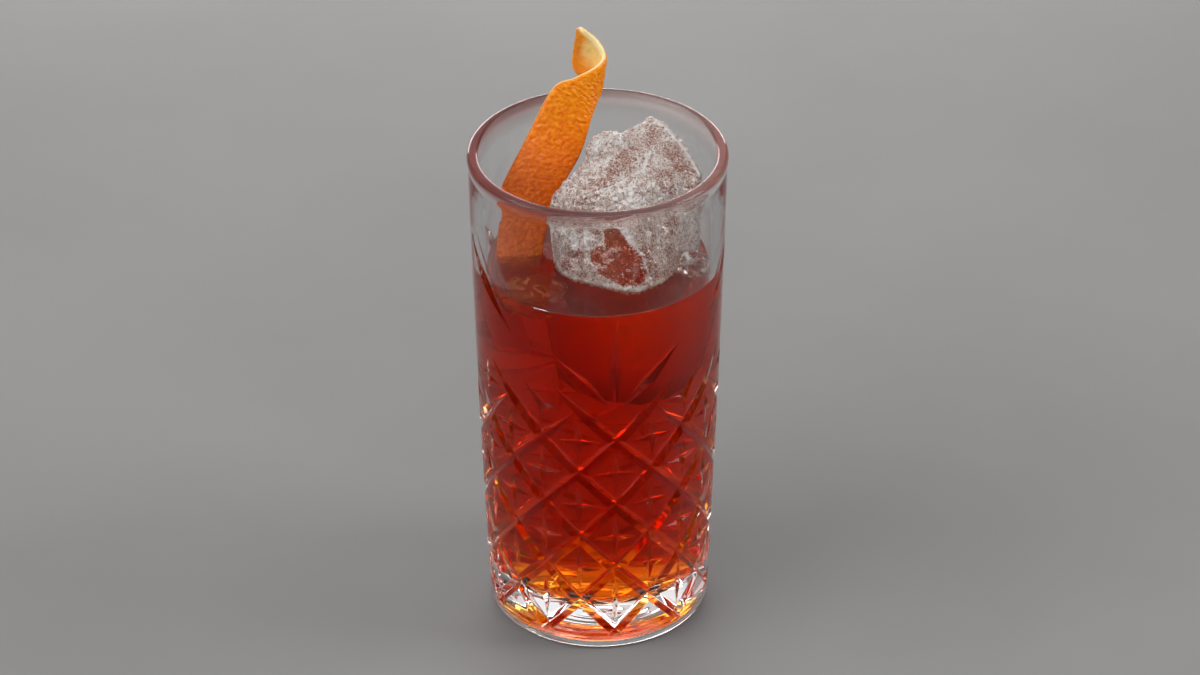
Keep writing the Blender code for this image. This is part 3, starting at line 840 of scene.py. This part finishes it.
def make_drink(sunken_ice):
    """The drink, cut round its pieces with rooms a little too small, and its drawn-up surface."""
    mesh_data = bmesh.new()
    add_turned_skin(mesh_data, cavity_profile(-REACH, LEVEL), FLOOR_HEIGHT - REACH)
    edge = inner_radius(LEVEL) + REACH
    radii = edge - np.concatenate(([0], np.geomspace(0.3, 1.0, 5), np.arange(1.7, edge - 1, 0.65)))
    rings = add_turned_skin(mesh_data, [(radius, LEVEL) for radius in radii], LEVEL)
    draw_up([vert for ring in rings[1:] for vert in ring], edge)
    weld(mesh_data)
    piece = make_piece("red_drink", mesh_data, drink_material())
    cut_out(piece, (
        shrunk(solid_copy("ice_block"), ICE_OVERLAP),
        shrunk(solid_copy("ice_chip"), CHIP_OVERLAP),
        shrunk(solid_copy("orange_peel"), PEEL_OVERLAP),
        shrunk(in_millimetres(sunken_ice.data), SUNKEN_OVERLAP),
    ))
    mesh = piece.data
    places, normals = faces_of(mesh)
    open_air = (places[:, 2] > LEVEL - MENISCUS_RISE - 0.3) & (normals[:, 2] > 0.3)
    set_shares(mesh, "FACE", open_air=open_air)
    mesh.shade_smooth()
    mesh.set_sharp_from_angle(angle=SURFACE_BREAK)
    hand_over(piece, "drink", "drink")


# Ice
def mark(points, line, width, unevenness):
    """1 along a line of points and 0 beyond its width, with an uneven edge."""
    away = np.full(len(points), np.inf)
    for start, end in zip(line[:-1], line[1:]):
        start, step = np.array(start), np.array(end) - np.array(start)
        t = np.clip((points - start) @ step / (step @ step), 0, 1)
        away = np.minimum(away, np.linalg.norm(points - start - t[:, None] * step, axis=1))
    return 1 - smoothstep(width * 0.5, width, away + width * unevenness)


def marks(points, lines, unevenness):
    return np.max([mark(points, line, width, unevenness) for line, width in lines], axis=0)


def needle_lines():
    """Thin crystals fanned out from a point, as (x, z) lines on the front of the ice."""
    randoms = np.random.default_rng(3)
    lines = []
    for angle in np.linspace(math.radians(8), math.radians(172), NEEDLES):
        angle += randoms.uniform(-0.12, 0.12)
        direction = np.array((math.cos(angle), math.sin(angle)))
        start = NEEDLE_CENTRE + direction * randoms.uniform(0.5, 4.0)
        end = start + direction * randoms.uniform(*NEEDLE_LENGTHS)
        lines.append(((start, end), NEEDLE_REACH))
    return lines


def make_ice():
    """The block with a grainy crust and the marks of its front, and smooth where it is sunk."""
    piece = fine_copy("frosted_ice", "ice_block", ICE_VOXEL, ice_material())
    mesh = piece.data
    points, normals = points_of(mesh)
    out = np.einsum("ij,ij->i", points - smoothed(mesh, points, 40), normals)
    crest = np.clip(out * 2.5, 0, 1)
    coarse = noise_at(points, 4.5, 3, 3.0)
    fine = noise_at(points, 1.4, 3, 8.0)
    dry = smoothstep(*ICE_DRY_BLEND, points[:, 2] + 1.3 * fine)
    white = marks(points, ICE_WHITE, 0.3 * fine)
    speckled = marks(points, ICE_SPECKLED, 0.3 * coarse)
    clear = marks(points, ICE_CLEAR, 0.14 * coarse)
    flake = smoothstep(0.3, 0.6, marks(points, ICE_FLAKE, 0.2 * coarse))
    facing = smoothstep(0.1, 0.3, -normals[:, 1])
    needles = marks(points[:, [0, 2]], needle_lines(), 0.1 * fine) * facing
    grain = 0.26 * (coarse + fine) * (1 - 0.7 * clear)
    grain += 0.25 * white * (0.4 + fine) + flake * (ICE_FLAKE_RISE + 0.3 * fine) + 0.12 * needles
    set_points(mesh, points + normals * (grain * dry)[:, None])
    rim = 4 * flake * (1 - flake)
    white = np.max((white, 0.5 * crest, rim, needles, 0.75 * flake), axis=0)
    set_shares(mesh, white=white, speckled=speckled * (1 - flake), clear=clear, sunk=1 - dry)
    hand_over(piece, "ice", "ice_block")


def make_chip():
    """The chip, melted to soft swells."""
    piece = fine_copy("clear_chip", "ice_chip", CHIP_VOXEL, chip_material())
    mesh = piece.data
    points, normals = points_of(mesh)
    points = smoothed(mesh, points, 4)
    swell = 0.5 * noise_at(points, 3.2, 2, 5.0) + 0.12 * np.abs(noise_at(points, 1.6, 2, 1.0))
    set_points(mesh, points + normals * swell[:, None])
    hand_over(piece, "ice", "ice_chip")


def make_sunken_ice():
    """A small swirled lump just under the surface, in front of the peel."""
    mesh_data = bmesh.new()
    bmesh.ops.create_icosphere(mesh_data, subdivisions=5, radius=1.0)
    for vert in mesh_data.verts:
        swell = 1 + 0.16 * noise.fractal(vert.co * 1.5 + Vector((4, 0, 2)), 0.9, 2.0, 3)
        square = max(abs(c) for c in vert.co) ** -0.35
        vert.co = Vector([c * s * swell * square for c, s in zip(vert.co, SUNKEN_SIZE)])
        vert.co += Vector(SUNKEN_PLACE)
    piece = make_piece("sunken_ice", mesh_data, sunken_ice_material())
    hand_over(piece, "ice")
    return piece


# Orange peel
def smooth_row(points, count):
    """Points spread evenly along a Catmull-Rom curve through the given ones."""
    points = np.array(points)
    ends = np.vstack((points[0] * 2 - points[1], points, points[-1] * 2 - points[-2]))
    place = np.linspace(0, len(points) - 1, count)
    k = np.minimum(place.astype(int), len(points) - 2)
    t = (place - k)[:, None]
    a, b, c, d = (ends[k + i] for i in range(4))
    bend = (2 * a - 5 * b + 4 * c - d) * t**2 + (3 * b - a - 3 * c + d) * t**3
    return 0.5 * (2 * b + (c - a) * t + bend)


def unit(rows):
    return rows / np.linalg.norm(rows, axis=-1, keepdims=True)


def pore_relief(along, across):
    """Depth of the nearest oil pore, from places on the peel in millimetres."""
    randoms = np.random.default_rng(7)
    shifts = randoms.uniform(-0.38, 0.38, (256, 64, 2))
    sizes = randoms.uniform(0.5, 1.2, (256, 64))
    i, j = np.floor(along / PORE_SPACING).astype(int), np.floor(across / PORE_SPACING).astype(int)
    dip = np.zeros_like(along)
    for a in (-1, 0, 1):
        for b in (-1, 0, 1):
            m, n = (i + a) % 256, (j + b) % 64
            centre = (np.stack((i + a, j + b), axis=-1) + 0.5 + shifts[m, n]) * PORE_SPACING
            away = np.hypot(along - centre[..., 0], across - centre[..., 1])
            dip = np.maximum(dip, sizes[m, n] * np.exp(-((away / PORE_RADIUS) ** 2)))
    return dip


def peel_strip():
    """The strip's middle sheet as rows of points, and where each point lies on it."""
    left, right = (smooth_row(edge, PEEL_STEPS) for edge in zip(*PEEL_EDGES))
    middle = (left + right) / 2
    forward = unit(np.gradient(middle, axis=0))
    outward = -unit(np.cross(forward, right - left))[:, None, :]
    share = np.linspace(0, 1, PEEL_ACROSS + 1)[None, :]
    s = share[..., None]
    sheet = left[:, None, :] * (1 - s) + right[:, None, :] * s
    sheet = sheet + outward * PEEL_CROWN * (1 - (2 * s - 1) ** 2)
    run = np.concatenate(([0], np.cumsum(np.linalg.norm(np.diff(middle, axis=0), axis=1))))[:, None]
    width = np.linalg.norm(right - left, axis=1)[:, None]
    across = width * share
    return SimpleNamespace(
        sheet=sheet,
        outward=outward,
        share=share,
        along=np.repeat(run, PEEL_ACROSS + 1, axis=1),
        across=across,
        to_tip=run[-1] - run,
        from_end=np.minimum(run, run[-1] - run),
        from_side=np.minimum(across, width - across),
        curled=smoothstep(*PEEL_CURL_BLEND, left[:, 2])[:, None],
    )


def half_thickness(strip):
    """Half of the peel's thickness, thinner towards its sides and ends."""
    inward = np.clip(strip.from_side / PEEL_SIDE_ROUND, 0, 1)
    round_side = np.sqrt(np.clip(1 - (1 - inward) ** 2, 0, 1))
    round_end = 0.4 + 0.6 * smoothstep(0, 1.5, strip.from_end)
    return PEEL_THICKNESS / 2 * (PEEL_EDGE + (1 - PEEL_EDGE) * round_side) * round_end


def zest_relief(strip, pores):
    """Slow unevenness, wrinkles stretched across the strip, and the pores."""
    wobble = noise_at(strip.sheet, 6.0, 2, 2.0)
    laid_out = np.stack((strip.along / WRINKLE[0], strip.across / WRINKLE[1], 0 * pores), axis=-1)
    wrinkles = noise_at(laid_out, 1.0, 3, 9.0)
    return 0.10 * wobble + WRINKLE_HEIGHT * wrinkles - PORE_DEPTH * pores


def both_sides(front, back):
    """Values of the front and then of the back, in order round the strip."""
    return np.concatenate((front, back[:, ::-1]), axis=1)


def strip_faces(size):
    """Faces of rings of the given size, joined in order, and of the strip's two ends."""
    faces = []
    for i in range(PEEL_STEPS - 1):
        for j in range(size):
            k = (j + 1) % size
            faces.append((i * size + j, i * size + k, (i + 1) * size + k, (i + 1) * size + j))
    last = (PEEL_STEPS - 1) * size
    for i in range(PEEL_ACROSS):
        faces.append((i + 1, i, size - 1 - i, size - 2 - i))
        faces.append((last + i, last + i + 1, last + size - 2 - i, last + size - 1 - i))
    return faces


def make_peel():
    """The twist: porous zest outside, and pith inside that thins out where the strip curls."""
    strip = peel_strip()
    half = half_thickness(strip)
    pores = pore_relief(strip.along, strip.across) * smoothstep(0.2, 0.9, strip.from_side)
    front = strip.sheet + strip.outward * (half + zest_relief(strip, pores))[..., None]
    back = strip.sheet - strip.outward * (half + 0.08 * noise_at(strip.sheet, 2.0, 3, 5.0))[..., None]
    points = both_sides(front, back)
    mesh_data = bmesh.new()
    verts = [mesh_data.verts.new(point) for point in points.reshape(-1, 3)]
    for face in strip_faces(points.shape[1]):
        mesh_data.faces.new([verts[i] for i in face])
    bmesh.ops.recalc_face_normals(mesh_data, faces=mesh_data.faces)
    piece = make_piece("orange_twist", mesh_data, peel_material())
    none = np.zeros_like(half)
    thin = smoothstep(0.4, 0.8, strip.share) + 1 - smoothstep(3.0, 7.0, strip.to_tip)
    pith = 1 - 0.85 * np.clip(thin, 0, 1) * strip.curled
    lip = (1 - smoothstep(1.0, 2.2, strip.across)) * strip.curled
    height = both_sides(strip.sheet, strip.sheet)[..., 2]
    set_shares(
        piece.data,
        pith=both_sides(none, pith),
        edge=both_sides(none, lip),
        pore=both_sides(pores, none),
        ripe=smoothstep(*PEEL_YELLOWING_BLEND, height),
        soaked=1 - smoothstep(*PEEL_DRY_BLEND, height),
    )
    hand_over(piece, "peel", "orange_peel")


# Materials
class Paint:
    """A node material round one Principled shader, with short calls for the nodes used here."""

    def __init__(self, name, **inputs):
        self.material = bpy.data.materials.new(name)
        self.material.use_nodes = True
        self.nodes = self.material.node_tree.nodes
        self.links = self.material.node_tree.links
        self.shader = self.nodes["Principled BSDF"]
        self.fill(self.shader, inputs)
        self.place = self.add("TexCoord").outputs["Object"]

    def feed(self, socket, value):
        """Link an input, or set it to a number, a vector or a colour of three numbers."""
        if isinstance(value, bpy.types.NodeSocket):
            self.links.new(value, socket)
        else:
            socket.default_value = (*value, 1.0) if socket.type == "RGBA" else value

    def fill(self, node, inputs):
        for name, value in inputs.items():
            self.feed(node.inputs[name.replace("_", " ")], value)

    def add(self, kind, **inputs):
        """A new node, with the given inputs linked or set."""
        node = self.nodes.new("ShaderNode" + kind)
        self.fill(node, inputs)
        return node

    def set(self, name, value):
        self.feed(self.shader.inputs[name], value)

    def noise(self, size, detail=3.0, roughness=0.55, distortion=0.0):
        """Noise from 0 to 1 with features of the size in millimetres."""
        form = {"Detail": detail, "Roughness": roughness, "Distortion": distortion}
        return self.add("TexNoise", Vector=self.place, Scale=1 / (size * MM), **form).outputs["Fac"]

    def axis(self, name):
        """One coordinate of the place, in metres."""
        return self.add("SeparateXYZ", Vector=self.place).outputs[name]

    def attribute(self, name):
        node = self.add("Attribute")
        node.attribute_name = name
        return node.outputs["Fac"]

    def ramp(self, value, low, high, out_low=0.0, out_high=1.0):
        """A smooth step from out_low to out_high as the value goes from low to high."""
        limits = {"From Min": low, "From Max": high, "To Min": out_low, "To Max": out_high}
        node = self.add("MapRange", Value=value, **limits)
        node.interpolation_type = "SMOOTHSTEP"
        return node.outputs["Result"]

    def mix(self, share, first, second):
        """Blend two colours, each given as three numbers or as a socket."""
        node = self.add("Mix", Factor=share)
        node.data_type = "RGBA"
        self.feed(node.inputs[6], first)
        self.feed(node.inputs[7], second)
        return node.outputs[2]

    def combine(self, operation, first, second):
        node = self.add("Math")
        node.operation = operation
        self.feed(node.inputs[0], first)
        self.feed(node.inputs[1], second)
        return node.outputs[0]

    def bump(self, height, depth, strength=1.0):
        """Relief of the given depth in millimetres."""
        node = self.add("Bump", Height=height, Distance=depth * MM, Strength=strength)
        self.set("Normal", node.outputs["Normal"])


def floor_material():
    paint = Paint("pale_floor", Roughness=0.6)
    shade = paint.ramp(paint.noise(220.0, 4.0), 0.3, 0.7)
    paint.set("Base Color", paint.mix(shade, (0.18, 0.177, 0.174), (0.205, 0.202, 0.198)))
    return paint.material


def glass_material(name, specular_tint):
    """Clear glass with a painted tinge of the drink's colour on its cuts, and a slightly milky rim
    whose painted colour stands in for the drink's red light on the left and for reflections of the
    bright room towards the right.
    """
    paint = Paint(name, IOR=1.5, Specular_Tint=specular_tint)
    rim = paint.attribute("rim")
    paint.set("Transmission Weight", paint.ramp(rim, 0.0, 1.0, 1.0, 0.9))
    # Painted tinge: the cuts take on the drink's colour, which is light seen through them, not a
    # colour of the glass.
    clear = paint.mix(paint.attribute("cut"), (0.985, 0.99, 0.99), (0.76, 0.64, 0.61))
    # Painted light on the rim: dark maroon on the left, paler pinkish grey towards the right.
    rightward = paint.ramp(paint.axis("X"), -0.03, 0.02)
    painted_rim_light = paint.mix(rightward, (0.52, 0.28, 0.27), (0.90, 0.74, 0.71))
    paint.set("Base Color", paint.mix(rim, clear, painted_rim_light))
    paint.set("Roughness", paint.ramp(paint.noise(3.0), 0.4, 0.8, 0.0, 0.02))
    paint.bump(paint.noise(9.0, 2.0), 0.02, 0.5)
    return paint.material


def drink_material():
    """Dark red and a little hazy. Only its open surface has a facing reflection of its own."""
    paint = Paint("dark_red_drink", Transmission_Weight=1.0, IOR=1.345, Base_Color=(1, 1, 1))
    paint.set("Specular Tint", paint.mix(paint.attribute("open_air"), (0, 0, 0), (1, 1, 1)))
    paint.set("Roughness", paint.ramp(paint.noise(5.0), 0.4, 0.8, 0.0, 0.015))
    colour, density = ABSORPTION
    absorb = paint.add("VolumeAbsorption", Color=colour, Density=density)
    colour, density = HAZE
    scatter = paint.add("VolumeScatter", Color=colour, Density=density, Anisotropy=HAZE_FORWARD)
    both = paint.add("AddShader")
    paint.feed(both.inputs[0], absorb.outputs[0])
    paint.feed(both.inputs[1], scatter.outputs[0])
    paint.feed(paint.nodes["Material Output"].inputs["Volume"], both.outputs[0])
    return paint.material


def frost_colour(paint, speckled, white):
    """White frost with a paler crust, painted in places with the red drink seen through it as
    reddish-brown patches and dark red specks, and dotted with painted glints.
    """
    grain = paint.noise(0.5, 2.0, 0.6)
    cloud = paint.ramp(paint.noise(1.9, 4.0, 0.75), 0.36, 0.64)
    frost = paint.mix(cloud, (0.56, 0.41, 0.34), (0.99, 0.94, 0.89))
    # Painted view of the drink through the frost: reddish-brown patches, and dark red specks where
    # they are thickest.
    drift = paint.ramp(paint.noise(5.0, 5.0, 0.7), 0.40, 0.62)
    patchy = paint.combine("MULTIPLY", speckled, paint.ramp(drift, 0.0, 1.0, 0.45, 1.0))
    painted_drink_view = paint.combine("MAXIMUM", patchy, paint.combine("MULTIPLY", drift, 0.4))
    colour = paint.mix(paint.ramp(painted_drink_view, 0.0, 1.0, 0.0, 0.62), frost, (0.46, 0.22, 0.14))
    speck = paint.ramp(paint.combine("ADD", grain, paint.combine("MULTIPLY", painted_drink_view, 0.11)), 0.56, 0.63)
    colour = paint.mix(speck, colour, (0.26, 0.07, 0.035))
    # Painted glints: tiny white spots standing in for sparkles of light.
    painted_glint = paint.ramp(paint.noise(0.56, 2.0, 0.6), 0.58, 0.64)
    colour = paint.mix(painted_glint, colour, (0.97, 0.94, 0.91))
    crust = paint.combine("ADD", paint.combine("MULTIPLY", white, 0.5), paint.noise(0.6, 3.0, 0.7))
    return paint.mix(paint.ramp(crust, 0.84, 1.0), colour, (0.96, 0.95, 0.93))


def window_colour(paint):
    """The drink seen through the clear part of the front, deeper towards the right."""
    pale_share = paint.ramp(paint.noise(1.6, 3.0), 0.35, 0.65)
    pale = paint.mix(pale_share, (0.60, 0.26, 0.16), (0.85, 0.46, 0.32))
    deep_share = paint.ramp(paint.noise(2.5, 3.0), 0.35, 0.65)
    deep = paint.mix(deep_share, (0.45, 0.05, 0.02), (0.62, 0.16, 0.09))
    return paint.mix(paint.ramp(paint.axis("X"), 0.002, 0.010), pale, deep)


def ice_material():
    """Frosted ice with a clear window in front and a wet foot."""
    paint = Paint("frosted_ice", IOR=1.31, Coat_Roughness=0.08)
    speckled, clear, sunk, white = map(paint.attribute, ("speckled", "clear", "sunk", "white"))
    frost = frost_colour(paint, speckled, white)
    misted = paint.ramp(paint.noise(0.7, 4.0, 0.7), 0.5, 0.66, 0.0, 0.75)
    open_ice = paint.ramp(paint.combine("SUBTRACT", clear, misted), 0.1, 0.6)
    colour = paint.mix(open_ice, frost, window_colour(paint))
    paint.set("Base Color", paint.mix(sunk, colour, (0.95, 0.15, 0.04)))
    bare = paint.combine("MAXIMUM", open_ice, sunk)
    paint.set("Transmission Weight", paint.ramp(bare, 0.0, 1.0, 0.25, 0.9))
    paint.set("Roughness", paint.ramp(bare, 0.0, 1.0, 0.35, 0.12))
    paint.set("Specular Tint", paint.mix(sunk, (1, 1, 1), (0, 0, 0)))
    paint.set("Coat Weight", paint.ramp(sunk, 0.0, 1.0, 0.9, 0.0))
    paint.bump(paint.noise(1.1, 4.0, 0.75), 0.9, 1.0)
    return paint.material


def chip_material():
    """Clear ice with a few white patches painted in as highlights."""
    paint = Paint("clear_ice", IOR=1.31, Coat_Weight=1.0)
    # Painted highlights: white patches, less clear, standing in for light caught by the chip.
    painted_highlight = paint.ramp(paint.noise(3.4, 4.0, 0.6, 0.6), 0.50, 0.64)
    paint.set("Base Color", paint.mix(painted_highlight, (0.97, 0.91, 0.86), (1.0, 0.99, 0.98)))
    paint.set("Transmission Weight", paint.ramp(painted_highlight, 0.0, 1.0, 1.0, 0.5))
    paint.set("Roughness", paint.ramp(paint.noise(2.0), 0.4, 0.8, 0.02, 0.12))
    paint.bump(paint.noise(2.4, 2.0), 0.6, 1.0)
    return paint.material


def sunken_ice_material():
    """Ice under the surface, swirled in the colours of the drink, with paler threads."""
    paint = Paint("sunken_ice", IOR=1.31, Roughness=0.22, Specular_Tint=(0, 0, 0))
    swirl = paint.ramp(paint.noise(9.0, 2.0, 0.5, 1.2), 0.36, 0.64)
    thread = paint.ramp(paint.noise(6.0, 1.0, 0.4, 1.6), 0.50, 0.66)
    colour = paint.mix(swirl, (0.88, 0.16, 0.06), (0.96, 0.33, 0.16))
    paint.set("Base Color", paint.mix(thread, colour, (1.0, 0.58, 0.38)))
    paint.set("Transmission Weight", paint.ramp(thread, 0.0, 1.0, 0.85, 0.55))
    return paint.material


def peel_material():
    """Waxy zest, yellower towards the tip, over pale pith; translucent where it is soaked."""
    paint = Paint("orange_zest", IOR=1.37, Subsurface_Weight=0.3, Subsurface_Scale=0.002)
    speck = paint.ramp(paint.noise(1.3, 3.0), 0.35, 0.7)
    ripe = paint.attribute("ripe")
    # Zest yellower higher up the peel.
    dark = paint.mix(ripe, (0.70, 0.115, 0.0), (0.88, 0.23, 0.001))
    light = paint.mix(ripe, (0.86, 0.175, 0.0), (0.96, 0.37, 0.002))
    pore = paint.ramp(paint.attribute("pore"), 0.0, 1.0, 0.0, 0.4)
    zest = paint.mix(pore, paint.mix(speck, dark, light), (0.70, 0.11, 0.0))
    pith = paint.mix(paint.noise(2.0, 3.0), (0.86, 0.52, 0.12), (0.92, 0.68, 0.28))
    inside = paint.attribute("pith")
    colour = paint.mix(inside, zest, pith)
    colour = paint.mix(paint.attribute("edge"), colour, (1.0, 0.86, 0.46))
    soaked = paint.attribute("soaked")
    paint.set("Base Color", paint.mix(soaked, colour, (0.95, 0.30, 0.06)))
    paint.set("Roughness", paint.ramp(inside, 0.0, 1.0, 0.30, 0.75))
    paint.set("Transmission Weight", paint.ramp(soaked, 0.0, 1.0, 0.0, 0.85))
    paint.set("Specular Tint", paint.mix(soaked, (1, 1, 1), (0, 0, 0)))
    paint.set("Subsurface Radius", (1.0, 0.35, 0.05))
    paint.bump(paint.noise(0.7, 3.0, 0.65, 0.6), 0.2, 0.9)
    return paint.material


def main():
    make_camera()
    make_world()
    make_lights()
    make_floor()
    make_glass()
    make_ice()
    make_chip()
    make_drink(make_sunken_ice())
    make_peel()
    bpy.context.scene.view_settings.view_transform = "Standard"
    cycles = bpy.context.scene.cycles
    cycles.max_bounces = 64
    cycles.transmission_bounces = 64
    cycles.glossy_bounces = 64
    cycles.volume_bounces = 2


main()
